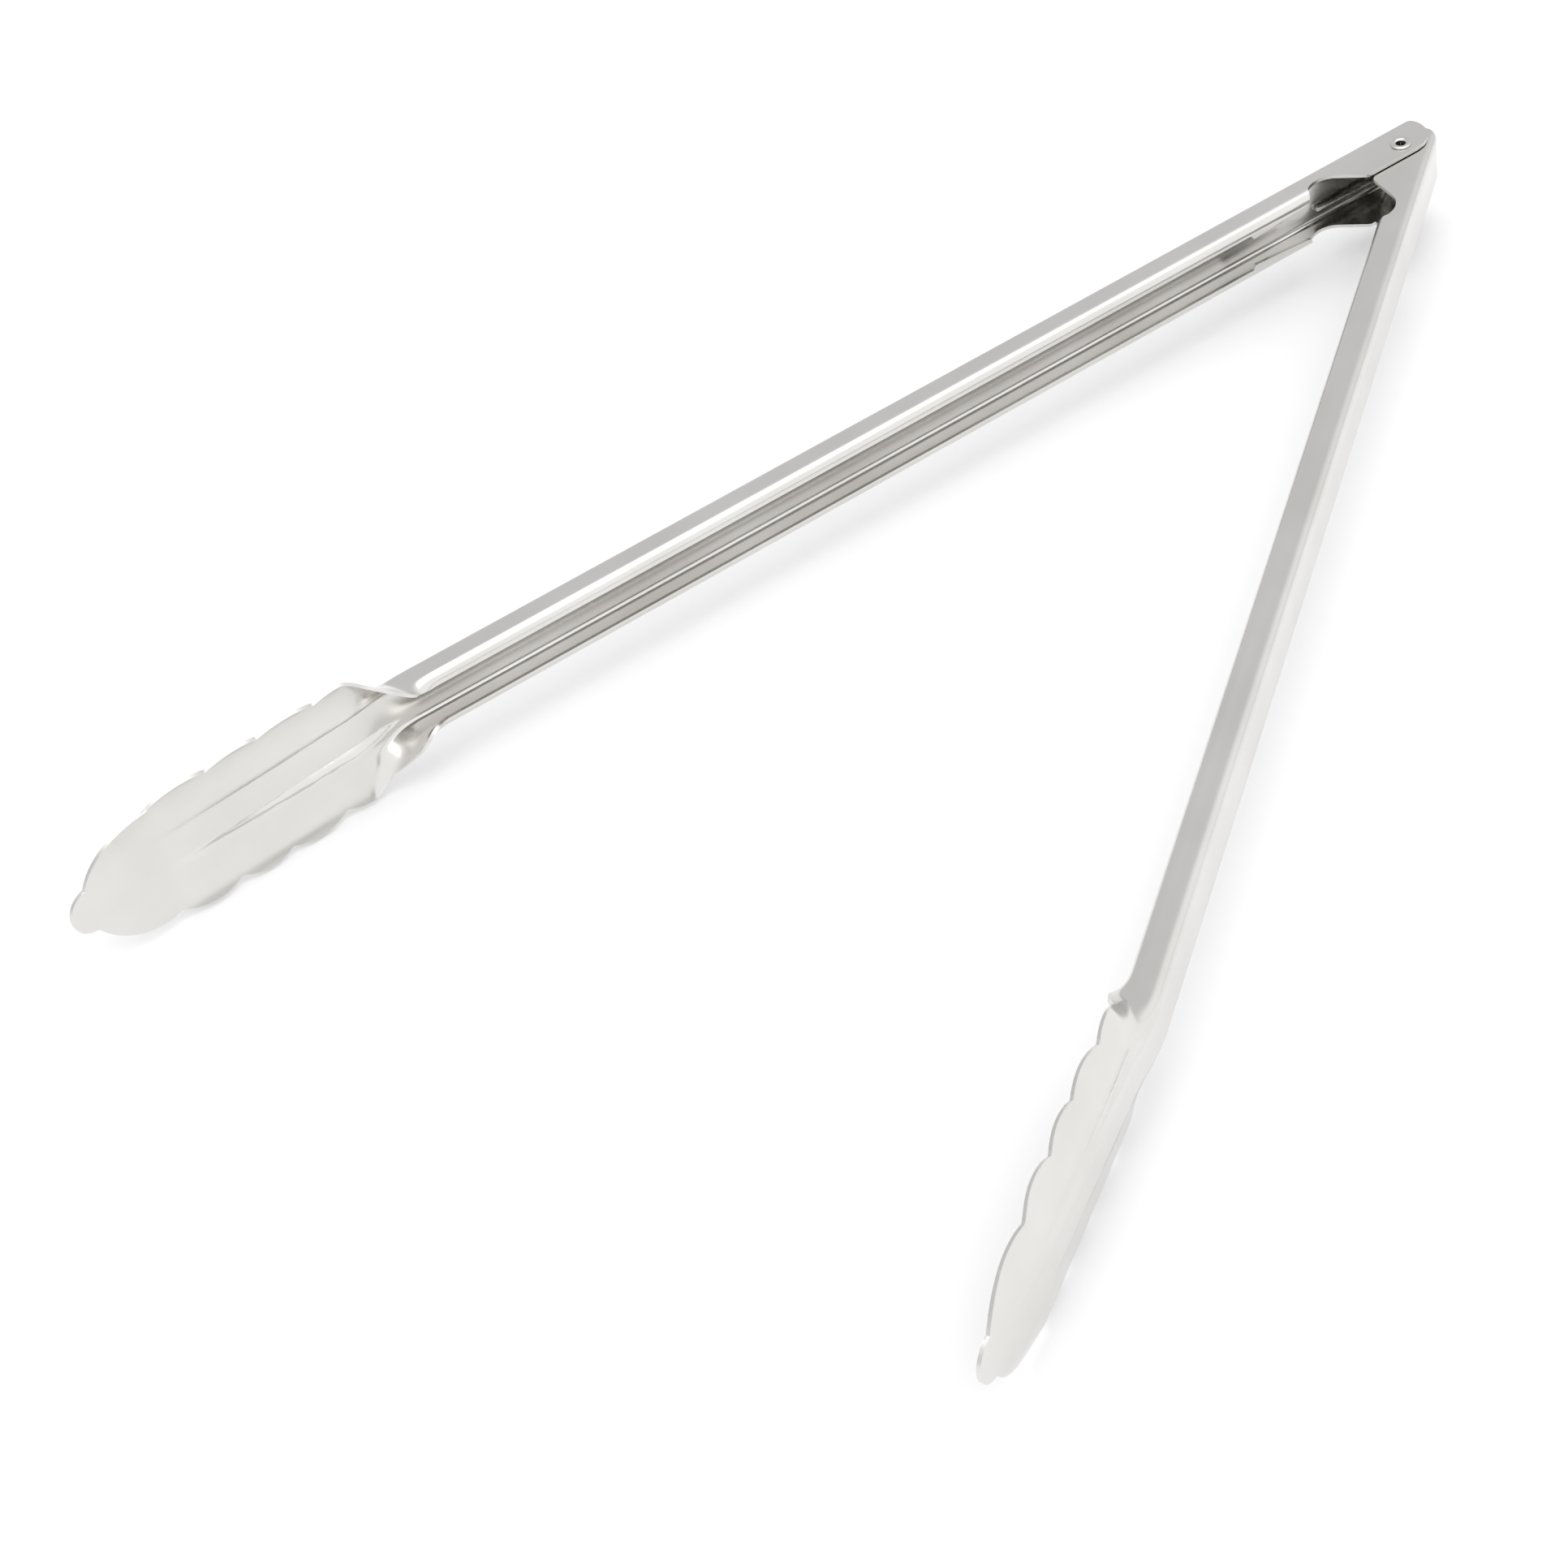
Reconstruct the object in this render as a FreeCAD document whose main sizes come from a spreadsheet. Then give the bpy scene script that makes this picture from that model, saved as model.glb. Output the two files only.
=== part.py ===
"""Spring loaded kitchen tongs: two formed stainless arms on a hollow rivet, held open by a coil spring.

Frame: millimetres, origin at the middle of the hinge rivet, +Z along the rivet,
+X from the hinge towards the tips, half way between the two open arms.
Each arm is designed along its own +X (station), with +Y pointing to the other arm, and then turned.
"""
import FreeCAD, Part
import math
import os

import Sketcher
from FreeCAD import Placement, Rotation, Vector

DIMENSIONS = {
    # whole tool
    "arm_length": 401.0,          # rivet axis to the end of the tip
    "open_angle": 38.2,           # between the two arms at rest
    "sheet": 0.9,                 # thickness of the formed sheet
    # handle channel
    "outer_width": 16.6,          # outer arm, across its side walls
    "nest_gap": 0.3,              # side play between the two arms' ears
    "back_offset": 8.3,           # rivet axis to the outside of the back
    "wall_height": 8.5,           # outside of the back to the rolled edge
    "lip": 2.9,                   # width of the lip rolled in from each wall
    "back_bend": 2.2,             # outside radius between back and wall
    "lip_bend": 2.6,              # outside radius between wall and lip
    "lip_station": 32.5,          # where the lips begin
    "neck_station": 303.0,        # where the channel ends and the scoop begins
    # hinge ears
    "ear_end": 9.7,               # rivet axis to the ear's end, away from the tips
    "ear_front": 14.8,            # rivet axis to the ear's front corner
    "ear_reach": 4.4,             # rivet axis to the ear's free edge
    "ear_back_round": 4.6,
    "ear_edge_round": 7.6,        # clears the other arm's back while the arms turn
    "notch_station": 25.7,        # centre of the round cut-out beside the ear
    "notch_rise": 3.5,
    "notch_radius": 7.0,
    # scoop
    "seam_inset": 0.03,           # the scoop starts this far inside the channel's end
    "flare_length": 19.0,         # length over which the channel opens into the scoop
    "unroll_length": 4.0,         # length over which the rolled lip straightens into the flare
    "unroll_rise": 4.4,           # how much taller that makes the wall
    "trough_half": 4.2,           # the channel's floor runs on into the scoop as a shallow trough
    "trough_shoulder": 1.8,
    "trough_slope": 0.0966,
    "trough_end": 374.0,
    "trough_fade": 6.0,           # length over which the trough's end rises into the dish
    "dish_half": 18.0,            # half width at which the dish reaches its full depth
    "dish_depth": 2.6,
    "dish_power": 3.0,
    "blank_half": 20.8,           # half width of the sheet before the scallops are cut
    "rim_level": -2.0,            # the rim's height at the first notch
    "rim_slope": 0.075,
    "tip_slope": 0.23,
    # rivet, spacer and spring
    "rivet_radius": 2.0,
    "rivet_bore": 1.2,
    "rivet_head_radius": 2.75,
    "rivet_head": 0.6,
    "rivet_clearance": 0.05,
    "spacer_radius": 3.2,
    "spacer_end_gap": 0.08,
    "wire_radius": 0.7,
    "coil_radius": 5.5,           # rivet axis to the middle of the wire
    "coil_turns": 4.0,            # whole turns; the arms' angle adds the rest
    "coil_pitch": 1.6,
    "spring_leg": 24.0,
}

# Notches between the scallops, from the neck to the tip:
# station, half width, and how far the scallop after the notch stands out.
NOTCHES = {
    "notch_1": (315.0, 14.6, 2.0),
    "notch_2": (328.7, 17.4, 1.7),
    "notch_3": (344.4, 17.9, 1.6),
    "notch_4": (358.6, 17.3, 2.2),
    "notch_5": (375.4, 16.2, 3.6),
    "notch_6": (395.6, 6.2, 0.0),
}


def add_sheet(doc):
    """Driving dimensions, one named cell each."""
    sheet = doc.addObject("Spreadsheet::Sheet", "dims")
    cells = dict(DIMENSIONS)
    for name, (station, half, rise) in NOTCHES.items():
        cells[name + "_station"] = station
        cells[name + "_half"] = half
        cells[name + "_rise"] = rise
    for row, (name, value) in enumerate(cells.items(), start=1):
        sheet.set(f"A{row}", name)
        sheet.set(f"B{row}", str(value))
        sheet.setAlias(f"B{row}", name)
    doc.recompute()
    return sheet


def origin_plane(body, role):
    """One of the body's own origin planes, such as XY_Plane."""
    return next(item for item in body.Origin.OriginFeatures if item.Role == role)


def add_sketch(body, name, role, offset=None):
    """Empty sketch on an origin plane, moved along the plane's normal by an expression."""
    sketch = body.newObject("Sketcher::SketchObject", name)
    sketch.AttachmentSupport = (origin_plane(body, role), [""])
    sketch.MapMode = "FlatFace"
    if offset:
        sketch.setExpression("AttachmentOffset.Base.z", offset)
    return sketch


def number(sketch, expression):
    """Value of a spreadsheet expression."""
    return float(sketch.evalExpression(expression))


def pin_point(sketch, geometry, point, x, y):
    """Hold a sketch point at two expressions measured from the sketch's origin."""
    for kind, expression in (("DistanceX", x), ("DistanceY", y)):
        value = number(sketch, expression)
        index = sketch.addConstraint(Sketcher.Constraint(kind, -1, 1, geometry, point, value))
        sketch.setExpression(f"Constraints[{index}]", expression)


def add_outline(sketch, corners, arcs=None):
    """Closed outline through corners of expressions.

    arcs gives, for the side that starts at a corner's number, a point on the arc and its radius.
    """
    arcs = arcs or {}
    points = [Vector(number(sketch, x), number(sketch, y), 0) for x, y in corners]
    sides = []
    for index, start in enumerate(points):
        end = points[(index + 1) % len(points)]
        if index in arcs:
            through = arcs[index][0]
            middle = Vector(number(sketch, through[0]), number(sketch, through[1]), 0)
            sides.append(sketch.addGeometry(Part.Arc(start, middle, end), False))
        else:
            sides.append(sketch.addGeometry(Part.LineSegment(start, end), False))
            pin_point(sketch, sides[-1], 1, *corners[index])
            pin_point(sketch, sides[-1], 2, *corners[(index + 1) % len(corners)])
    for index, (_, radius) in arcs.items():
        arc, before, after = sides[index], sides[index - 1], sides[(index + 1) % len(sides)]
        starts_first = sketch.getPoint(arc, 1).distanceToPoint(points[index]) < 1e-6
        first, last = (1, 2) if starts_first else (2, 1)
        sketch.addConstraint(Sketcher.Constraint("Coincident", arc, first, before, 2))
        sketch.addConstraint(Sketcher.Constraint("Coincident", arc, last, after, 1))
        held = sketch.addConstraint(Sketcher.Constraint("Radius", arc, number(sketch, radius)))
        sketch.setExpression(f"Constraints[{held}]", radius)


def add_circle(sketch, radius):
    """Circle on the sketch's origin."""
    value = number(sketch, radius)
    circle = sketch.addGeometry(Part.Circle(Vector(0, 0, 0), Vector(0, 0, 1), value), False)
    sketch.addConstraint(Sketcher.Constraint("Coincident", circle, 3, -1, 1))
    held = sketch.addConstraint(Sketcher.Constraint("Radius", circle, value))
    sketch.setExpression(f"Constraints[{held}]", radius)


def add_pad(body, name, sketch, length):
    """Solid from a sketch, along its normal."""
    pad = body.newObject("PartDesign::Pad", name)
    pad.Profile = sketch
    pad.setExpression("Length", length)
    body.Tip = pad
    return pad


def add_through_pocket(body, name, sketch):
    """Cut the sketch right through, to both sides of its plane, and make sure that it cuts."""
    before = body.Tip.Shape.Volume
    pocket = body.newObject("PartDesign::Pocket", name)
    pocket.Profile = sketch
    pocket.Type = "ThroughAll"
    pocket.SideType = "Symmetric"
    body.Tip = pocket
    body.Document.recompute()
    if pocket.Shape.Volume >= before:
        raise RuntimeError(f"{name} cuts nothing")


def add_long_fillet(body, name, corner, radius):
    """Round the edges along X that pass through a (y, z) corner and its mirror image below."""
    body.Document.recompute()
    base = body.Tip
    edges = []
    for count, edge in enumerate(base.Shape.Edges, start=1):
        misses = [math.hypot(end.Y - corner[0], abs(end.Z) - corner[1]) for end in edge.Vertexes]
        along = abs(edge.tangentAt(edge.FirstParameter).x) > 0.99
        if along and max(misses) < 1e-4:
            edges.append(f"Edge{count}")
    fillet = body.newObject("PartDesign::Fillet", name)
    fillet.Base = (base, edges)
    fillet.setExpression("Radius", radius)
    body.Tip = fillet
    body.Document.recompute()


BACK = "-dims.back_offset"
EDGE = "(dims.wall_height - dims.back_offset)"
DIAGONAL = "sqrt(0.5)"


def add_handle(doc, prefix, width):
    """Handle of one arm, hinge end to neck: a channel with rolled lips, ears and a round cut-out."""
    body = doc.addObject("PartDesign::Body", prefix + "_handle")
    side = f"{width}/2"

    channel = add_sketch(body, prefix + "_channel_section", "YZ_Plane", "dims.lip_station")
    half = [
        (f"{BACK} + dims.sheet", f"{side} - dims.sheet"),
        (f"{EDGE} - dims.sheet", f"{side} - dims.sheet"),
        (f"{EDGE} - dims.sheet", f"{side} - dims.lip"),
        (EDGE, f"{side} - dims.lip"),
        (EDGE, side),
        (BACK, side),
    ]
    add_outline(channel, half + [(y, f"-({z})") for y, z in reversed(half)])
    add_pad(body, prefix + "_channel", channel, "dims.neck_station - dims.lip_station")
    back, edge = number(channel, BACK), number(channel, EDGE)
    outside, inside = number(channel, side), number(channel, f"{side} - dims.sheet")
    sheet = number(channel, "dims.sheet")
    add_long_fillet(body, prefix + "_lip_bend", (edge, outside), "dims.lip_bend")
    lip_inside = "dims.lip_bend - dims.sheet"
    add_long_fillet(body, prefix + "_lip_bend_inside", (edge - sheet, inside), lip_inside)

    hinge = add_sketch(body, prefix + "_hinge_section", "YZ_Plane", "-dims.ear_end")
    half = [
        (f"{BACK} + dims.sheet", f"{side} - dims.sheet"),
        ("dims.ear_reach", f"{side} - dims.sheet"),
        ("dims.ear_reach", side),
        (BACK, side),
    ]
    add_outline(hinge, half + [(y, f"-({z})") for y, z in reversed(half)])
    add_pad(body, prefix + "_hinge", hinge, "dims.ear_end + dims.lip_station")
    add_long_fillet(body, prefix + "_back_bend", (back, outside), "dims.back_bend")
    back_inside = "dims.back_bend - dims.sheet"
    add_long_fillet(body, prefix + "_back_bend_inside", (back + sheet, inside), back_inside)

    cut_notch(body, prefix)
    cut_ear_corners(body, prefix)
    hole = add_sketch(body, prefix + "_rivet_hole_outline", "XY_Plane")
    add_circle(hole, "dims.rivet_radius + dims.rivet_clearance")
    add_through_pocket(body, prefix + "_rivet_hole", hole)
    return body


def cut_notch(body, prefix):
    """Round cut-out in both walls between the ear and the first lip."""
    sketch = add_sketch(body, prefix + "_notch_outline", "XY_Plane")
    reach = f"dims.notch_radius * {DIAGONAL}"
    span = f"sqrt(dims.notch_radius^2 - (dims.notch_rise - {EDGE})^2)"
    corners = [
        ("dims.ear_front", "dims.ear_reach + 1"),
        ("dims.ear_front", "dims.ear_reach"),
        (f"dims.notch_station - {reach}", f"dims.notch_rise - {reach}"),
        (f"dims.notch_station + {span}", EDGE),
        ("dims.lip_station", EDGE),
        ("dims.lip_station", "dims.ear_reach + 1"),
    ]
    lowest = ("dims.notch_station", "dims.notch_rise - dims.notch_radius")
    add_outline(sketch, corners, {2: (lowest, "dims.notch_radius")})
    add_through_pocket(body, prefix + "_notch", sketch)


def cut_ear_corners(body, prefix):
    """Round the two corners of the ears' end."""
    sketch = add_sketch(body, prefix + "_ear_corner_outline", "XY_Plane")
    for level, radius, out in (
        (BACK, "dims.ear_back_round", -1),
        ("dims.ear_reach", "dims.ear_edge_round", 1),
    ):
        tangent = f"-dims.ear_end + {radius}"
        inner = f"{level} - {out}*{radius}"
        corners = [
            ("-dims.ear_end - 1", f"{level} + {out}"),
            (tangent, f"{level} + {out}"),
            (tangent, level),
            ("-dims.ear_end", inner),
            ("-dims.ear_end - 1", inner),
        ]
        middle = (f"{tangent} - {radius}*{DIAGONAL}", f"{inner} + {out}*{radius}*{DIAGONAL}")
        add_outline(sketch, corners, {2: (middle, radius)})
    add_through_pocket(body, prefix + "_ear_corners", sketch)


def smooth_step(value):
    """0 to 1 with flat ends."""
    value = min(max(value, 0.0), 1.0)
    return value * value * (3 - 2 * value)


def dish_level(sheet, station, z):
    """Outside of the scoop's dish, away from the trough."""
    centre = sheet.rim_level - sheet.dish_depth
    centre += sheet.rim_slope * (min(station, sheet.trough_end) - sheet.notch_2_station)
    centre += sheet.tip_slope * max(station - sheet.trough_end, 0.0)
    return centre + sheet.dish_depth * (abs(z) / sheet.dish_half) ** sheet.dish_power


def half_section(sheet, station, width):
    """Control points (z, y) of the scoop's outside, from its middle to its edge."""
    steps = 5
    side, bend, back = width / 2, sheet.back_bend, -sheet.back_offset
    unrolled = smooth_step((station - sheet.neck_station) / sheet.unroll_length)
    rise = sheet.wall_height - bend - sheet.lip_bend + sheet.unroll_rise * unrolled
    channel = [(0, back), (side / 2, back), (side - bend, back), (side, back + bend)]
    channel += [(side, back + bend + rise * step / steps) for step in range(1, steps + 1)]

    trough = back + sheet.trough_slope * (station - sheet.neck_station)
    dish_floor = dish_level(sheet, station, 0)
    ended = smooth_step((station - sheet.trough_end) / sheet.trough_fade + 1)
    floor = trough + (dish_floor - trough) * ended
    shoulder = sheet.trough_half + sheet.trough_shoulder
    span = sheet.blank_half - shoulder
    places = [shoulder + span * step / steps for step in range(steps + 1)]
    dish = [(0, floor), (sheet.trough_half / 2, floor), (sheet.trough_half, floor)]
    dish += [(z, dish_level(sheet, station, z)) for z in places]

    opened = smooth_step((station - sheet.neck_station) / sheet.flare_length)
    return [
        (a[0] + (b[0] - a[0]) * opened, a[1] + (b[1] - a[1]) * opened)
        for a, b in zip(channel, dish)
    ]


def offset_inwards(points, distance):
    """Polyline moved to its left by a distance, with mitred corners."""
    normals = []
    for start, end in zip(points, points[1:]):
        run = math.hypot(end[0] - start[0], end[1] - start[1])
        normals.append((-(end[1] - start[1]) / run, (end[0] - start[0]) / run))
    moved = []
    for index, (z, y) in enumerate(points):
        first = normals[max(index - 1, 0)]
        last = normals[min(index, len(normals) - 1)]
        share = distance / (1 + first[0] * last[0] + first[1] * last[1])
        moved.append((z + (first[0] + last[0]) * share, y + (first[1] + last[1]) * share))
    return moved


def scoop_wire(sheet, station, width):
    """Closed thin section of the scoop's sheet at one station."""
    half = half_section(sheet, station, width)
    surface = [(-z, y) for z, y in reversed(half[1:])] + half
    inset = sheet.seam_inset if station == sheet.neck_station else 0.0
    outside = offset_inwards(surface, inset)
    inside = offset_inwards(surface, sheet.sheet - inset)
    curves = []
    for points in (outside, inside[::-1]):
        curve = Part.BSplineCurve()
        curve.buildFromPoles([Vector(station, y, z) for z, y in points], False, 3)
        curves.append(curve.toShape())
    ends = [(outside[-1], inside[-1]), (inside[0], outside[0])]
    lines = [
        Part.makeLine(Vector(station, a[1], a[0]), Vector(station, b[1], b[0])) for a, b in ends
    ]
    return Part.Wire([curves[0], lines[0], curves[1], lines[1]])


def scallop_outline(sheet, width):
    """Face in the X-Z plane inside the scoop's scalloped edge."""
    neck = (sheet.neck_station - 1, width / 2 + 0.5)
    notches = [(sheet.get(name + "_station"), sheet.get(name + "_half")) for name in NOTCHES]
    rises = [sheet.get(name + "_rise") for name in NOTCHES]
    upper = [Part.makeLine(Vector(neck[0], 0, neck[1]), Vector(notches[0][0], 0, notches[0][1]))]
    for start, end, height in zip(notches, notches[1:], rises):
        rise = height / math.hypot(end[0] - start[0], end[1] - start[1])
        top = Vector(
            (start[0] + end[0]) / 2 - (end[1] - start[1]) * rise,
            0,
            (start[1] + end[1]) / 2 + (end[0] - start[0]) * rise,
        )
        upper.append(Part.Arc(Vector(start[0], 0, start[1]), top, Vector(end[0], 0, end[1])).toShape())
    lower = [edge.mirror(Vector(), Vector(0, 0, 1)) for edge in upper]
    last = notches[-1]
    tip = Part.Arc(
        Vector(last[0], 0, last[1]), Vector(sheet.arm_length, 0, 0), Vector(last[0], 0, -last[1])
    ).toShape()
    base = Part.makeLine(Vector(neck[0], 0, -neck[1]), Vector(neck[0], 0, neck[1]))
    return Part.Face(Part.Wire(Part.sortEdges(upper + [tip] + lower + [base])[0]))


def add_scoop(doc, prefix, sheet, width):
    """Scoop of one arm: a dished sheet that starts as the channel, cut to its scalloped outline."""
    neck, end = sheet.neck_station, sheet.arm_length + 1
    flare = [neck + sheet.flare_length * part for part in (0, 0.15, 0.35, 0.5, 0.65, 0.85, 1)]
    rest = 20
    stations = flare + [flare[-1] + (end - flare[-1]) * step / rest for step in range(1, rest + 1)]
    blank = Part.makeLoft([scoop_wire(sheet, station, width) for station in stations], True, False)
    depth = 2 * sheet.blank_half
    face = scallop_outline(sheet, width)
    face.translate(Vector(0, -depth / 2, 0))
    scoop = doc.addObject("Part::Feature", prefix + "_scoop")
    scoop.Shape = blank.common(face.extrude(Vector(0, depth, 0))).Solids[0]
    return scoop


def add_arm(doc, label, sheet, width, turn, flip):
    """One arm as a single formed sheet: handle and scoop together, turned to its open place."""
    value = sheet.evalExpression(width)
    handle = add_handle(doc, label, width)
    scoop = add_scoop(doc, label, sheet, float(value))
    arm = doc.addObject("Part::MultiFuse", label)
    arm.Shapes = [handle, scoop]
    doc.recompute()
    upside = Rotation(Vector(1, 0, 0), 180 if flip else 0)
    arm.Placement = Placement(Vector(), Rotation(Vector(0, 0, 1), turn) * upside)
    return arm


def add_turned(doc, label, corners):
    """Round piece on the Z axis, from its half section of (radius, z) expressions."""
    body = doc.addObject("PartDesign::Body", label)
    sketch = add_sketch(body, label + "_section", "XZ_Plane")
    add_outline(sketch, corners)
    turned = body.newObject("PartDesign::Revolution", label + "_turned")
    turned.Profile = sketch
    turned.ReferenceAxis = (sketch, ["V_Axis"])
    turned.Angle = 360
    body.Tip = turned
    return body


def add_rivet(doc):
    """Hollow rivet through both arms, with a rolled head on each outer ear."""
    seat = "dims.outer_width/2"
    top = f"{seat} + dims.rivet_head"
    half = [
        ("dims.rivet_bore", top),
        ("dims.rivet_head_radius - 0.35", top),
        ("dims.rivet_head_radius", f"{top} - 0.35"),
        ("dims.rivet_head_radius", seat),
        ("dims.rivet_radius", seat),
    ]
    return add_turned(doc, "hinge_rivet", half + [(r, f"-({z})") for r, z in reversed(half)])


def add_spacer(doc):
    """Tube inside the coil that keeps the inner arm's ears apart."""
    end = "dims.outer_width/2 - 2*dims.sheet - dims.nest_gap - dims.spacer_end_gap"
    bore = "dims.rivet_radius + dims.rivet_clearance"
    corners = [
        (bore, end),
        ("dims.spacer_radius", end),
        ("dims.spacer_radius", f"-({end})"),
        (bore, f"-({end})"),
    ]
    return add_turned(doc, "spacer_tube", corners)


def add_spring(doc, sheet):
    """Torsion spring: a coil round the spacer and a leg along the inside of each arm's back.

    Both ends of the coil leave it along their own leg, so the coil's angle follows from the arms'.
    """
    radius, leg = sheet.coil_radius, sheet.spring_leg
    contact = sheet.back_offset - sheet.sheet - sheet.wire_radius
    lean = math.degrees(math.asin((contact - radius) / leg))
    tangent = 90 + lean + sheet.open_angle / 2
    wound = 360 * sheet.coil_turns + 360 - 2 * tangent
    height = sheet.coil_pitch * wound / 360
    climb = math.atan2(sheet.coil_pitch, 2 * math.pi * radius)

    helix = Part.makeHelix(sheet.coil_pitch, height, radius, 0, True)
    circle = Part.Circle(
        Vector(radius, 0, 0), Vector(0, -math.cos(climb), math.sin(climb)), sheet.wire_radius
    )
    coil = helix.makePipeShell([Part.Wire(circle.toShape())], True, True)
    coil.Placement = Placement(Vector(0, 0, -height / 2), Rotation(Vector(0, 0, 1), -tangent))
    pieces = [coil]
    for way in (-1, 1):
        around = math.radians(way * tangent)
        heading = math.radians(way * (tangent - 90))
        start = Vector(radius * math.cos(around), radius * math.sin(around), way * height / 2)
        along = Vector(
            math.cos(heading) * math.cos(climb),
            math.sin(heading) * math.cos(climb),
            way * math.sin(climb),
        )
        pieces.append(Part.makeCylinder(sheet.wire_radius, leg, start, along))
    spring = doc.addObject("Part::Feature", "torsion_spring")
    spring.Shape = pieces[0].multiFuse(pieces[1:]).removeSplitter()
    return spring


def check(doc, pieces):
    """Stop if anything failed to build."""
    for item in doc.Objects:
        if "Invalid" in item.State or "Error" in item.State:
            raise RuntimeError(f"{item.Name}: {item.State}")
    for piece in pieces:
        shape = piece.Shape
        if shape.isNull() or not shape.isValid() or len(shape.Solids) != 1:
            raise RuntimeError(f"{piece.Label}: {len(shape.Solids)} solids, valid {shape.isValid()}")


def main():
    doc = FreeCAD.newDocument("kitchen_tongs")
    sheet = add_sheet(doc)
    half_open = sheet.open_angle / 2
    inner_width = "(dims.outer_width - 2*dims.sheet - 2*dims.nest_gap)"
    pieces = [
        add_arm(doc, "outer_arm", sheet, "dims.outer_width", -half_open, False),
        add_arm(doc, "inner_arm", sheet, inner_width, half_open, True),
        add_rivet(doc),
        add_spacer(doc),
        add_spring(doc, sheet),
    ]
    doc.recompute()
    check(doc, pieces)
    os.makedirs("parts", exist_ok=True)
    for piece in pieces:
        piece.Shape.exportStep(f"parts/{piece.Label}.step")
        box = piece.Shape.BoundBox
        print(f"{piece.Label}: {piece.Shape.Volume:.1f} mm3, x {box.XMin:.2f} to {box.XMax:.2f}, "
              f"y {box.YMin:.2f} to {box.YMax:.2f}, z {box.ZMin:.2f} to {box.ZMax:.2f}")


main()
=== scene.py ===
"""Looks of the spring loaded kitchen tongs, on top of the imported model.

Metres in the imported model's frame: origin at the middle of the hinge rivet, +Z along it, +X towards
the scoops. An arm is a flat blank that is pressed to shape: a point of the blank is a station along
the arm and a distance across the sheet from the middle of the arm's back, both in millimetres.
"""
import math

import bmesh
import bpy
from mathutils import Matrix, Vector


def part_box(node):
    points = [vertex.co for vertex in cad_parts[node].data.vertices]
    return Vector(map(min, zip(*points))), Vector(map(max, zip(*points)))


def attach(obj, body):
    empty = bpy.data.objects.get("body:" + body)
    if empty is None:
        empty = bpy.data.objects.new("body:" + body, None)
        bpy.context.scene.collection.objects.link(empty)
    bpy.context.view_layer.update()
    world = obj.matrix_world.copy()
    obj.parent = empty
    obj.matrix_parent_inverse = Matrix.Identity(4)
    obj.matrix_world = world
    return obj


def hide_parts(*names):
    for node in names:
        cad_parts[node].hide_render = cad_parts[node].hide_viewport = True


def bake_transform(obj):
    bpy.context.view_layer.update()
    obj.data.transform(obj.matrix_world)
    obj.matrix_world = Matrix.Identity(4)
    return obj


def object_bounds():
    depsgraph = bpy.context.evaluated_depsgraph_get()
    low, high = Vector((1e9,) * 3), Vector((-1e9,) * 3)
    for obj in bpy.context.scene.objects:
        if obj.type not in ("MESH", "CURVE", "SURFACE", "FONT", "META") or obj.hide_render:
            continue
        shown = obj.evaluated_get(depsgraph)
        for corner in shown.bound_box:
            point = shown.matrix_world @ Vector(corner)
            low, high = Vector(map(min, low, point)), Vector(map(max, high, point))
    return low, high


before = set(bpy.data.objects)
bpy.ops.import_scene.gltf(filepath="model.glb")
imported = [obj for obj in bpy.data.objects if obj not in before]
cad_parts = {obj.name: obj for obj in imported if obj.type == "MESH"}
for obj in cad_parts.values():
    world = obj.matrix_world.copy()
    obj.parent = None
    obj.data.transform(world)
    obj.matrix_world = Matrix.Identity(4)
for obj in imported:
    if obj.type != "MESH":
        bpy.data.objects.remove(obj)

MM = 0.001
cad_box = [list(corner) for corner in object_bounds()]
rivet_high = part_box("hinge_rivet")[1]

# Arm, in millimetres.
SHEET = 0.9
OUTER_WIDTH = 16.6            # across the side walls
NEST_GAP = 0.3                # side play between the ears of the two arms
HALF_OPEN = 19.1              # degrees from the middle line to each arm
BACK = 8.3                    # rivet axis to the outside of the back
BACK_BEND = 2.2               # radius between back and wall
EDGE = 0.2                    # level of the rolled edge, above the rivet axis
ROLL = 2.6                    # radius of the rolled edge
LIP = 0.3                     # flat lip beyond the roll
EAR_REACH = 4.4               # level of the ear's edge, above the rivet axis
EAR_END = 9.68                # how far the ear reaches behind the rivet axis
EAR_FRONT = 14.8              # station where the ear's edge starts to fall to the cut-out
EAR_BACK_ROUND = 4.6          # radius of the ear's end next to the back
EAR_EDGE_ROUND = 7.6          # radius of the ear's end next to its edge
END_FADE = 20.0               # length over which the mesh evens out those rounded ends
NOTCH = (25.7, 3.5, 7.0)      # centre station, centre level and radius of the cut-out beside the ear
LIP_START = (29.5, 32.2)      # the rolled edge grows to its full width between these stations
LIP_TAPER = (50.0, 1.3)       # it widens by this much up to this station, then steps back
LIP_STEP = 0.8                # length of that step
UNROLL = (298.0, 308.0)       # the rolled edge straightens between these stations
NECK = 303.0                  # station where the channel starts to turn into the scoop
FLARE = 19.0                  # length over which the channel turns into the scoop
NECK_BULGE = 0.8              # how far the edge bows out between the neck and the first notch
RIVET_HOLE = 2.05             # radius

# Rivet and spring, in millimetres.
RIVET_SHANK = 2.0
RIVET_BORE = 1.2
RIVET_ROUND = 0.25
WIRE = 0.7                    # radius of the spring's wire
COIL = 5.5                    # radius to the middle of the wire
COIL_TURNS = 4
COIL_PITCH = 1.6
SPRING_LEG = 24.0

# Brightness of the room, from its dim to its bright side.
DIM_WALL = 0.76
BRIGHT_WALL = 1.2

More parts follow.
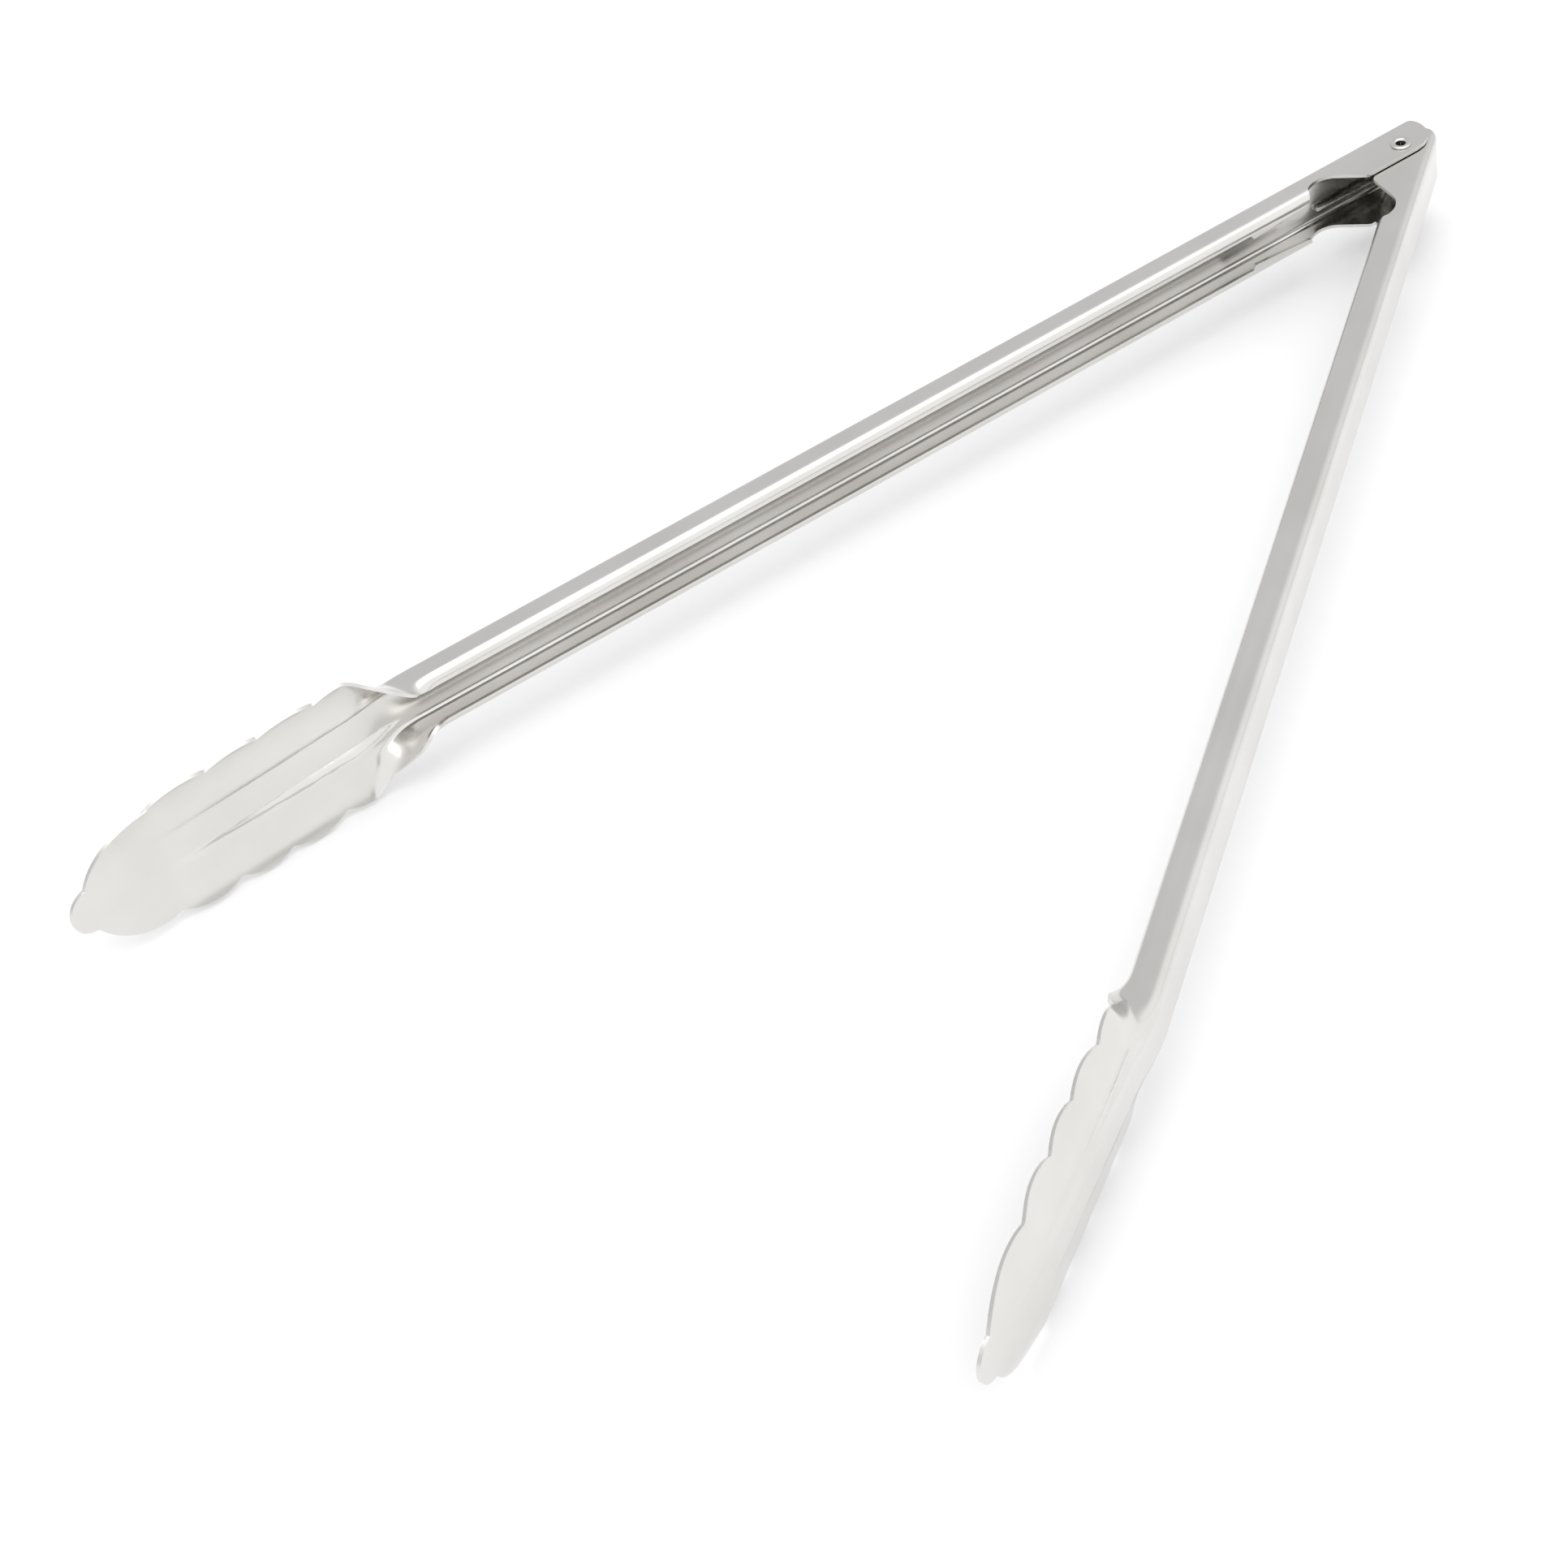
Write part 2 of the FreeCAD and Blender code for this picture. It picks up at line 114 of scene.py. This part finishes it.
# Scoop, in millimetres; a slope is the rise for each millimetre along the arm.
TROUGH_FLAT = 4.2             # half width of the trough's floor
TROUGH_HALF = 6.0             # half width where the trough's side meets the dish
TROUGH_SLOPE = 0.0966
TROUGH_END = 374.0            # station where the trough has run out into the dish
TROUGH_FADE = 6.0             # length over which it runs out
DISH_HALF = 18.0              # half width where the dish has risen by its depth
DISH_DEPTH = 2.6
RIM_LEVEL = -2.0              # level of the dish there, at the second notch
RIM_SLOPE = 0.075             # of the dish, up to the trough's end
TIP_SLOPE = 0.222             # of the dish, beyond the trough's end
ARM_LENGTH = 401.0            # rivet axis to the tip
# Notches from the neck to the tip: station, half width, and how far the next scallop stands out.
NOTCHES = [
    (315.0, 17.4, 1.5),
    (328.7, 17.4, 1.7),
    (344.4, 17.9, 1.6),
    (358.6, 17.3, 2.2),
    (375.4, 16.2, 3.6),
    (395.6, 6.2, 0.0),
]


def smooth_step(value):
    value = min(max(value, 0.0), 1.0)
    return value * value * (3 - 2 * value)


def blend_points(a, b, share):
    return (a[0] + (b[0] - a[0]) * share, a[1] + (b[1] - a[1]) * share)


# ---------------------------------------------------------------- the blank and how it is pressed

def wall_distance(level, width):
    """Distance across the sheet, from the middle of the back, to a level on the flat side wall."""
    return width / 2 - BACK_BEND + BACK_BEND * math.pi / 2 + level + BACK - BACK_BEND


def lip_distance(width):
    """Distance across the sheet to the inner edge of the rolled lip."""
    return wall_distance(EDGE - ROLL, width) + ROLL * math.pi / 2 + LIP


def channel_point(across, width, rolled):
    """Outside of the channel (z, level); rolled says how far its edge is rolled in, 0 to 1."""
    flat = width / 2 - BACK_BEND
    if across <= flat:
        return (across, -BACK)
    across -= flat
    bend = BACK_BEND * math.pi / 2
    if across <= bend:
        angle = across / BACK_BEND
        return (flat + BACK_BEND * math.sin(angle), -BACK + BACK_BEND * (1 - math.cos(angle)))
    across -= bend
    wall = BACK + EDGE - ROLL - BACK_BEND
    if across <= wall or rolled < 0.001:
        return (width / 2, -BACK + BACK_BEND + across)
    across -= wall
    arc = ROLL * math.pi / 2
    turn = rolled * math.pi / 2
    radius = arc / turn
    angle = min(across, arc) / radius
    beyond = max(across - arc, 0.0)
    return (
        width / 2 - radius * (1 - math.cos(angle)) - beyond * math.sin(turn),
        EDGE - ROLL + radius * math.sin(angle) + beyond * math.cos(turn),
    )


def dish_point(across, station):
    """Outside of the scoop (z, level): a shallow dish with a trough along its middle."""
    floor = RIM_LEVEL - DISH_DEPTH + RIM_SLOPE * (min(station, TROUGH_END) - NOTCHES[1][0])
    floor += TIP_SLOPE * max(station - TROUGH_END, 0.0)
    dish = floor + DISH_DEPTH * (across / DISH_HALF) ** 3
    trough = -BACK + TROUGH_SLOPE * (station - NECK)
    trough += (floor - trough) * smooth_step((station - TROUGH_END) / TROUGH_FADE + 1)
    side = smooth_step((across - TROUGH_FLAT) / (TROUGH_HALF - TROUGH_FLAT))
    return (across, trough + (dish - trough) * side)


def pressed_point(station, across, width):
    """Place on the outside of the pressed arm, (station, level, z), for a point of the blank."""
    side = abs(across)
    rolled = 1 - smooth_step((station - UNROLL[0]) / (UNROLL[1] - UNROLL[0]))
    channel = channel_point(side, width, rolled if station > NOTCH[0] else 0.0)
    opened = smooth_step((station - NECK) / FLARE)
    z, level = blend_points(channel, dish_point(side, station), opened)
    return Vector((station, level, math.copysign(z, across)))


def scallop_edge(station):
    """Half width of the blank in the scoop: round scallops between the notches, then a round tip."""
    last, half, _ = NOTCHES[-1]
    if station >= last:
        length = ARM_LENGTH - last
        radius = (half * half + length * length) / (2 * length)
        return math.sqrt(max(radius ** 2 - (station - ARM_LENGTH + radius) ** 2, 0.0))
    for (x0, z0, rise), (x1, z1, _) in zip(NOTCHES, NOTCHES[1:]):
        if x0 <= station <= x1:
            chord = math.hypot(x1 - x0, z1 - z0)
            radius = (chord ** 2 / 4 + rise ** 2) / (2 * rise)
            drop = (radius - rise) / chord
            centre = ((x0 + x1) / 2 + (z1 - z0) * drop, (z0 + z1) / 2 - (x1 - x0) * drop)
            return centre[1] + math.sqrt(max(radius ** 2 - (station - centre[0]) ** 2, 0.0))
    return NOTCHES[0][1]


def blank_edge(station, width):
    """Half width of the blank at a station."""
    lip = lip_distance(width)
    if station <= EAR_FRONT:
        return wall_distance(EAR_REACH, width)
    centre, rise, radius = NOTCH
    tangent = centre - radius * math.sqrt(0.5)
    if station <= tangent:
        share = (station - EAR_FRONT) / (tangent - EAR_FRONT)
        return wall_distance(EAR_REACH + (rise - radius * math.sqrt(0.5) - EAR_REACH) * share, width)
    if station <= LIP_START[1]:
        reach = math.sqrt(max(radius ** 2 - (station - centre) ** 2, 0.0))
        notched = wall_distance(rise - reach, width)
        grown = smooth_step((station - LIP_START[0]) / (LIP_START[1] - LIP_START[0]))
        return notched + (lip - notched) * grown
    taper_end, widening = LIP_TAPER
    if station <= taper_end:
        return lip + widening * (station - LIP_START[1]) / (taper_end - LIP_START[1])
    if station <= taper_end + LIP_STEP:
        return lip + widening * (1 - (station - taper_end) / LIP_STEP)
    if station <= NECK:
        return lip
    first, half, _ = NOTCHES[0]
    if station <= first:
        share = (station - NECK) / (first - NECK)
        return lip + (half - lip) * share + NECK_BULGE * math.sin(math.pi * share)
    return scallop_edge(station)


def hinge_end(across, width):
    """How far the blank's end stands back from the ear's end, for its two rounded corners."""
    level = channel_point(abs(across), width, 0.0)[1]
    low = -BACK + EAR_BACK_ROUND
    high = EAR_REACH - EAR_EDGE_ROUND
    if level < low:
        return EAR_BACK_ROUND - math.sqrt(max(EAR_BACK_ROUND ** 2 - (low - level) ** 2, 0.0))
    if level > high:
        return EAR_EDGE_ROUND - math.sqrt(max(EAR_EDGE_ROUND ** 2 - (level - high) ** 2, 0.0))
    return 0.0


def spread(start, end, step):
    """Evenly spaced values from start up to, but not including, end."""
    count = max(round((end - start) / step), 1)
    return [start + (end - start) * index / count for index in range(count)]


def blank_stations():
    """Stations of the arm's mesh: close together where the outline or the section changes."""
    stations = spread(-EAR_END, LIP_START[0], 0.55) + spread(LIP_START[0], LIP_START[1] + 0.5, 0.25)
    stations += spread(LIP_START[1] + 0.5, LIP_TAPER[0], 1.5)
    stations += spread(LIP_TAPER[0], LIP_TAPER[0] + 1.0, 0.25) + spread(LIP_TAPER[0] + 1.0, 286.0, 9.0)
    stations += spread(286.0, NOTCHES[0][0], 0.9)
    for (start, _, _), (end, _, _) in zip(NOTCHES, NOTCHES[1:]):
        stations += spread(start, end, 0.8)
    tip = NOTCHES[-1][0]
    turns = 16
    angles = [math.pi / 2 * index / turns for index in range(turns)]
    return stations + [tip + (ARM_LENGTH - tip) * math.sin(angle) for angle in angles]


def blank_rows(width):
    """Distances across half of the handle's blank, and how many of them stay put at the hinge."""
    flat = width / 2 - BACK_BEND
    bend = flat + BACK_BEND * math.pi / 2
    held = wall_distance(NOTCH[1] - NOTCH[2], width) - 0.3
    roll = wall_distance(EDGE - ROLL, width)
    end = lip_distance(width)
    rows = spread(0, flat, 0.6) + spread(flat, bend, 0.45) + spread(bend, held, 0.9)
    fixed = len(rows)
    rows += [held] + spread(held + 0.4, roll, 0.6) + spread(roll, roll + ROLL * math.pi / 2, 0.45)
    return rows + [roll + ROLL * math.pi / 2, end], fixed


def pressed_normal(station, across, width):
    """Unit normal of the pressed arm, away from its hollow side."""
    step = 0.02
    along = pressed_point(station + step, across, width) - pressed_point(station - step, across, width)
    over = pressed_point(station, across + step, width) - pressed_point(station, across - step, width)
    return along.cross(over).normalized()


def arm_mesh(name, width):
    """Closed mesh of a pressed arm, along its own +X, in millimetres."""
    half, fixed = blank_rows(width)
    end = half[-1]
    rows = [-value for value in reversed(half[1:])] + half
    held = half[fixed]
    outside, inside = [], []
    for station in blank_stations():
        edge = blank_edge(station, width)
        for row in rows:
            side = abs(row)
            if station > NECK:
                side *= edge / end
            elif side > held:
                side = held + (side - held) * (edge - held) / (end - held)
            across = math.copysign(side, row)
            fade = max(1 - (station + EAR_END) / END_FADE, 0.0)
            place = station + hinge_end(across, width) * fade
            point = pressed_point(place, across, width)
            outside.append(point)
            inside.append(point - pressed_normal(place, across, width) * SHEET)
    wide = len(rows)
    long = len(outside) // wide
    count = len(outside)
    faces = []
    for i in range(long - 1):
        for j in range(wide - 1):
            a, b = i * wide + j, (i + 1) * wide + j
            faces.append((a, b, b + 1, a + 1))
            faces.append((count + a, count + a + 1, count + b + 1, count + b))
    rim = list(range(wide))
    rim += [i * wide + wide - 1 for i in range(1, long)]
    rim += [(long - 1) * wide + j for j in range(wide - 2, -1, -1)]
    rim += [i * wide for i in range(long - 2, 0, -1)]
    for a, b in zip(rim, rim[1:] + rim[:1]):
        faces.append((a, b, count + b, count + a))
    mesh = bpy.data.meshes.new(name)
    mesh.from_pydata([point[:] for point in outside + inside], [], faces)
    return mesh


# ------------------------------------------------------------------------------------- mesh tools

def add_object(name, mesh):
    piece = bpy.data.objects.new(name, mesh)
    bpy.context.scene.collection.objects.link(piece)
    return piece


def lathe(name, outline, turns=72):
    """Closed round mesh on the Z axis, from a closed outline of (radius, z) in metres."""
    points, faces = [], []
    for turn in range(turns):
        angle = 2 * math.pi * turn / turns
        points += [(r * math.cos(angle), r * math.sin(angle), z) for r, z in outline]
    wide = len(outline)
    for turn in range(turns):
        here, there = turn * wide, (turn + 1) % turns * wide
        for j in range(wide):
            k = (j + 1) % wide
            faces.append((here + j, there + j, there + k, here + k))
    mesh = bpy.data.meshes.new(name)
    mesh.from_pydata(points, [], faces)
    return add_object(name, mesh)


def tube_mesh(name, path, radius, around=16):
    """Round wire along a path of points, closed with rounded ends."""
    points, faces = [], []
    normal = Vector((0, 0, 1))
    rings = []
    directions = [
        (path[min(i + 1, len(path) - 1)] - path[max(i - 1, 0)]).normalized() for i in range(len(path))
    ]
    # A stop is a ring's centre, its direction, its share of the radius and its shift past the centre.
    stops = [(path[0], directions[0], 0.35, -0.9), (path[0], directions[0], 0.8, -0.5)]
    stops += [(point, way, 1.0, 0.0) for point, way in zip(path, directions)]
    stops += [(path[-1], directions[-1], 0.8, 0.5), (path[-1], directions[-1], 0.35, 0.9)]
    for point, way, size, ahead in stops:
        normal = (normal - way * normal.dot(way)).normalized()
        side = way.cross(normal)
        centre = point + way * radius * ahead * 0.6
        rings.append(len(points))
        for step in range(around):
            angle = 2 * math.pi * step / around
            offset = (normal * math.cos(angle) + side * math.sin(angle)) * radius * size
            points.append(centre + offset)
    for start, following in zip(rings, rings[1:]):
        for step in range(around):
            after = (step + 1) % around
            faces.append((start + step, start + after, following + after, following + step))
    faces.append(tuple(range(around - 1, -1, -1)))
    faces.append(tuple(rings[-1] + step for step in range(around)))
    mesh = bpy.data.meshes.new(name)
    mesh.from_pydata([point[:] for point in points], [], faces)
    return add_object(name, mesh)


def face_outwards(piece):
    """Make every face of a closed mesh face outwards."""
    shell = bmesh.new()
    shell.from_mesh(piece.data)
    bmesh.ops.recalc_face_normals(shell, faces=shell.faces)
    shell.to_mesh(piece.data)
    shell.free()


def finish_mesh(piece, edge=None):
    """Smooth shading, with the cut edges rounded by a bevel where asked."""
    face_outwards(piece)
    for face in piece.data.polygons:
        face.use_smooth = True
    if edge:
        bevel = piece.modifiers.new("round_edges", "BEVEL")
        bevel.width = edge
        bevel.segments = 3
        bevel.limit_method = "ANGLE"
        bevel.angle_limit = math.radians(40)
        bevel.use_clamp_overlap = True
    weighted = piece.modifiers.new("flat_normals", "WEIGHTED_NORMAL")
    weighted.weight = 100
    weighted.keep_sharp = True
    return piece


def drill(piece, radius):
    """Cut the rivet's hole through both ears."""
    core, reach = 0.1 * MM, 20 * MM
    cutter = lathe("cutter", [(core, -reach), (radius, -reach), (radius, reach), (core, reach)])
    face_outwards(cutter)
    cut = piece.modifiers.new("hole", "BOOLEAN")
    cut.object = cutter
    cut.operation = "DIFFERENCE"
    cut.solver = "EXACT"
    bpy.context.view_layer.update()
    drilled = bpy.data.meshes.new_from_object(piece.evaluated_get(bpy.context.evaluated_depsgraph_get()))
    piece.modifiers.clear()
    piece.data = drilled
    bpy.data.objects.remove(cutter)


# -------------------------------------------------------------------------------------- materials

def new_material(name):
    material = bpy.data.materials.new(name)
    material.use_nodes = True
    nodes = material.node_tree.nodes
    return material, nodes, material.node_tree.links, nodes["Principled BSDF"]


def mapped_noise(nodes, links, scale, stretch, turn=0.0, detail=3.0):
    """Noise that is stretched along the axes of a piece turned by some degrees about Z."""
    place = nodes.new("ShaderNodeTexCoord")
    mapping = nodes.new("ShaderNodeMapping")
    mapping.vector_type = "TEXTURE"
    mapping.inputs["Rotation"].default_value = (0.0, 0.0, math.radians(turn))
    mapping.inputs["Scale"].default_value = stretch
    links.new(place.outputs["Object"], mapping.inputs["Vector"])
    noise = nodes.new("ShaderNodeTexNoise")
    noise.inputs["Scale"].default_value = scale
    noise.inputs["Detail"].default_value = detail
    links.new(mapping.outputs["Vector"], noise.inputs["Vector"])
    return noise.outputs["Fac"]


def ramp(nodes, links, source, low, high, positions=(0.3, 0.7)):
    """Turn a 0 to 1 value into a range of colours or numbers."""
    step = nodes.new("ShaderNodeValToRGB")
    step.color_ramp.elements[0].position = positions[0]
    step.color_ramp.elements[1].position = positions[1]
    step.color_ramp.elements[0].color = low if isinstance(low, tuple) else (low, low, low, 1)
    step.color_ramp.elements[1].color = high if isinstance(high, tuple) else (high, high, high, 1)
    links.new(source, step.inputs["Fac"])
    return step.outputs["Color"]


def add_bump(nodes, links, shader, source, strength, distance):
    """Bump on top of any bump that the shader already has."""
    bump = nodes.new("ShaderNodeBump")
    bump.inputs["Strength"].default_value = strength
    bump.inputs["Distance"].default_value = distance
    links.new(source, bump.inputs["Height"])
    if shader.inputs["Normal"].links:
        links.new(shader.inputs["Normal"].links[0].from_socket, bump.inputs["Normal"])
    links.new(bump.outputs["Normal"], shader.inputs["Normal"])


def worn_edges(nodes, links, shader, roughness, worn):
    """Roughness that rises to a worn value where the surface is sharply convex."""
    shape = nodes.new("ShaderNodeNewGeometry")
    edge = ramp(nodes, links, shape.outputs["Pointiness"], 0.0, worn, (0.53, 0.62))
    rougher = nodes.new("ShaderNodeMath")
    rougher.operation = "MAXIMUM"
    links.new(roughness, rougher.inputs[0])
    links.new(edge, rougher.inputs[1])
    links.new(rougher.outputs["Value"], shader.inputs["Roughness"])


def polished_steel(name, turn):
    """Formed stainless sheet: drawn polish along the arm, faint smudges and slight waviness."""
    material, nodes, links, shader = new_material("polished_" + name)
    shader.inputs["Metallic"].default_value = 1.0
    cloud = mapped_noise(nodes, links, 38.0, (1, 1, 1))
    tint = ramp(nodes, links, cloud, (0.66, 0.647, 0.62, 1), (0.715, 0.704, 0.68, 1))
    links.new(tint, shader.inputs["Base Color"])
    streaks = mapped_noise(nodes, links, 260.0, (30, 1, 1), turn)
    worn_edges(nodes, links, shader, ramp(nodes, links, streaks, 0.15, 0.25), 0.34)
    wave = mapped_noise(nodes, links, 60.0, (3, 1, 1), turn, detail=1.0)
    add_bump(nodes, links, shader, wave, 0.012, 0.0006)
    brushing = mapped_noise(nodes, links, 1800.0, (50, 1, 1), turn)
    add_bump(nodes, links, shader, brushing, 0.015, 0.00004)
    return material


def turned_steel():
    """Rivet and spacer: turned steel with fine rings."""
    material, nodes, links, shader = new_material("turned_stainless")
    shader.inputs["Metallic"].default_value = 1.0
    cloud = mapped_noise(nodes, links, 900.0, (1, 1, 1))
    tint = ramp(nodes, links, cloud, (0.60, 0.59, 0.57, 1), (0.70, 0.69, 0.67, 1))
    links.new(tint, shader.inputs["Base Color"])
    worn_edges(nodes, links, shader, ramp(nodes, links, cloud, 0.16, 0.30), 0.4)
    rings = mapped_noise(nodes, links, 400.0, (3, 3, 0.1))
    add_bump(nodes, links, shader, rings, 0.1, 0.00005)
    return material


def spring_steel():
    """Drawn spring wire: darker, with fine marks from the drawing die."""
    material, nodes, links, shader = new_material("spring_wire")
    shader.inputs["Metallic"].default_value = 1.0
    cloud = mapped_noise(nodes, links, 700.0, (1, 1, 0.3))
    tint = ramp(nodes, links, cloud, (0.46, 0.45, 0.43, 1), (0.60, 0.585, 0.56, 1))
    links.new(tint, shader.inputs["Base Color"])
    worn_edges(nodes, links, shader, ramp(nodes, links, cloud, 0.18, 0.34), 0.4)
    marks = mapped_noise(nodes, links, 1500.0, (2.5, 2.5, 0.25))
    add_bump(nodes, links, shader, marks, 0.1, 0.00005)
    return material


def floor_white():
    """Plain matt white floor."""
    material, nodes, links, shader = new_material("white_floor")
    cloud = mapped_noise(nodes, links, 3.0, (1, 1, 1))
    tint = ramp(nodes, links, cloud, (0.90, 0.90, 0.90, 1), (0.91, 0.91, 0.91, 1))
    links.new(tint, shader.inputs["Base Color"])
    shader.inputs["Roughness"].default_value = 0.9
    shader.inputs["Specular IOR Level"].default_value = 0.1
    return material


# ----------------------------------------------------------------------------------------- pieces

def make_arm(name, node, body, width, turn, flip):
    """One arm, turned about the rivet; the inner arm is also laid upside down to face the outer."""
    arm = add_object(name, arm_mesh(name, width))
    upside = Matrix.Rotation(math.pi if flip else 0.0, 4, "X")
    arm.data.transform(Matrix.Rotation(math.radians(turn), 4, "Z") @ upside @ Matrix.Scale(MM, 4))
    face_outwards(arm)
    drill(arm, RIVET_HOLE * MM)
    finish_mesh(arm, edge=0.22 * MM)
    arm.data.materials.clear()
    arm.data.materials.append(polished_steel(node, turn))
    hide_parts(node)
    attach(arm, body)


def make_rivet(steel):
    """Hollow rivet with two flared, rounded heads."""
    seat = OUTER_WIDTH / 2 * MM
    top = rivet_high[2]
    head = rivet_high[0]
    bore = RIVET_BORE * MM
    shank = RIVET_SHANK * MM
    soft = RIVET_ROUND * MM
    upper = [
        (shank, seat),
        (head - soft, seat),
        (head, seat + soft * 0.6),
        (head, top - soft * 1.2),
        (head - soft * 0.5, top - soft * 0.4),
        (head - soft * 1.6, top),
        (bore + soft * 2.2, top),
        (bore + soft * 0.9, top - soft * 0.6),
        (bore, top - soft * 2.0),
    ]
    lower = [(r, -z) for r, z in reversed(upper)]
    rivet = lathe("hollow_rivet", upper + lower)
    finish_mesh(rivet)
    rivet.data.materials.append(steel)
    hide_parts("hinge_rivet")
    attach(rivet, "outer_half")


def make_spring(steel):
    """Torsion spring: one leg along each arm's back and a coil round the spacer tube between them."""
    wire = WIRE * MM
    radius = COIL * MM
    leg = SPRING_LEG * MM
    contact = (BACK - SHEET) * MM - wire
    lean = math.asin((contact - radius) / leg)
    tangent = math.pi / 2 + lean + math.radians(HALF_OPEN)
    wound = 2 * math.pi * (COIL_TURNS + 1) - 2 * tangent
    height = COIL_PITCH * MM * wound / (2 * math.pi)
    steps = 240
    coil = []
    for step in range(steps + 1):
        share = step / steps
        angle = -tangent - wound * share
        coil.append(Vector((radius * math.cos(angle), radius * math.sin(angle), height * (share - 0.5))))
    legs = []
    leg_steps = 12
    for way in (-1, 1):
        heading = way * (tangent - math.pi / 2)
        along = Vector((math.cos(heading), math.sin(heading), 0.0))
        start = coil[0] if way < 0 else coil[-1]
        legs.append([start + along * leg * step / leg_steps for step in range(1, leg_steps + 1)])
    spring = tube_mesh("coil_spring", legs[0][::-1] + coil + legs[1], wire)
    finish_mesh(spring)
    spring.data.materials.append(steel)
    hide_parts("torsion_spring")
    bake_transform(spring)


# ----------------------------------------------------------------------------- camera and lighting

def make_camera():
    """Camera beyond the scoops, looking down at the middle of the tongs and rolled a little."""
    aim = Vector((0.26619, -0.00674, 0.0))
    distance = 0.81772
    azimuth = math.radians(45.245)
    elevation = math.radians(42.767)
    roll = math.radians(-12.186)
    back = Vector((
        math.cos(azimuth) * math.cos(elevation),
        math.sin(azimuth) * math.cos(elevation),
        math.sin(elevation),
    ))
    data = bpy.data.cameras.new("camera")
    data.lens = 82.72
    data.sensor_width = 36.0
    data.clip_start = 0.02
    data.clip_end = 50.0
    camera = bpy.data.objects.new("camera", data)
    bpy.context.scene.collection.objects.link(camera)
    level = back.to_track_quat("Z", "Y").to_matrix().to_4x4()
    camera.matrix_world = (
        Matrix.Translation(aim + back * distance) @ level @ Matrix.Rotation(roll, 4, "Z")
    )
    bpy.context.scene.camera = camera


def add_softbox(name, place, target, size, power):
    data = bpy.data.lights.new(name, "AREA")
    data.shape = "RECTANGLE"
    data.size, data.size_y = size
    data.energy = power
    light = bpy.data.objects.new(name, data)
    bpy.context.scene.collection.objects.link(light)
    away = Vector(place) - Vector(target)
    light.matrix_world = Matrix.Translation(place) @ away.to_track_quat("Z", "Y").to_matrix().to_4x4()


def studio_world():
    """Soft white room, dim towards -Y and brighter overhead and towards +Y."""
    world = bpy.data.worlds.new("studio")
    world.use_nodes = True
    nodes = world.node_tree.nodes
    links = world.node_tree.links
    place = nodes.new("ShaderNodeTexCoord")
    facing = nodes.new("ShaderNodeVectorMath")
    facing.operation = "DOT_PRODUCT"
    facing.inputs[1].default_value = Vector((0.1, 0.8, 0.6)).normalized()
    strength = nodes.new("ShaderNodeMapRange")
    strength.inputs["From Min"].default_value = 0.0
    strength.inputs["From Max"].default_value = 0.6
    strength.inputs["To Min"].default_value = DIM_WALL
    strength.inputs["To Max"].default_value = BRIGHT_WALL
    strength.interpolation_type = "SMOOTHSTEP"
    links.new(place.outputs["Generated"], facing.inputs[0])
    links.new(facing.outputs["Value"], strength.inputs["Value"])
    links.new(strength.outputs["Result"], nodes["Background"].inputs["Strength"])
    nodes["Background"].inputs["Color"].default_value = (0.985, 0.985, 1.0, 1)
    return world


def make_studio():
    low = Vector(cad_box[0])
    high = Vector(cad_box[1])
    middle = (low + high) / 2
    reach = 12.0
    floor_gap = 0.3 * MM
    floor_mesh = bpy.data.meshes.new("floor")
    corners = [(-reach, -reach, 0), (reach, -reach, 0), (reach, reach, 0), (-reach, reach, 0)]
    floor_mesh.from_pydata(corners, [], [(0, 1, 2, 3)])
    floor = add_object("floor", floor_mesh)
    floor.location = (middle.x, middle.y, low.z - floor_gap)
    floor_mesh.materials.append(floor_white())
    bpy.context.scene.world = studio_world()
    add_softbox("overhead_light", (0.35, 0.1, 2.2), middle, (3.0, 3.0), 22.0)


def main():
    bpy.context.scene.view_settings.view_transform = "Standard"
    make_camera()
    make_studio()
    turned = turned_steel()
    inner_width = OUTER_WIDTH - 2 * SHEET - 2 * NEST_GAP
    make_arm("outer_arm_sheet", "outer_arm", "outer_half", OUTER_WIDTH, -HALF_OPEN, False)
    make_arm("inner_arm_sheet", "inner_arm", "inner_half", inner_width, HALF_OPEN, True)
    make_rivet(turned)
    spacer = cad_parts["spacer_tube"]
    spacer.material_slots[0].material = turned
    make_spring(spring_steel())


main()
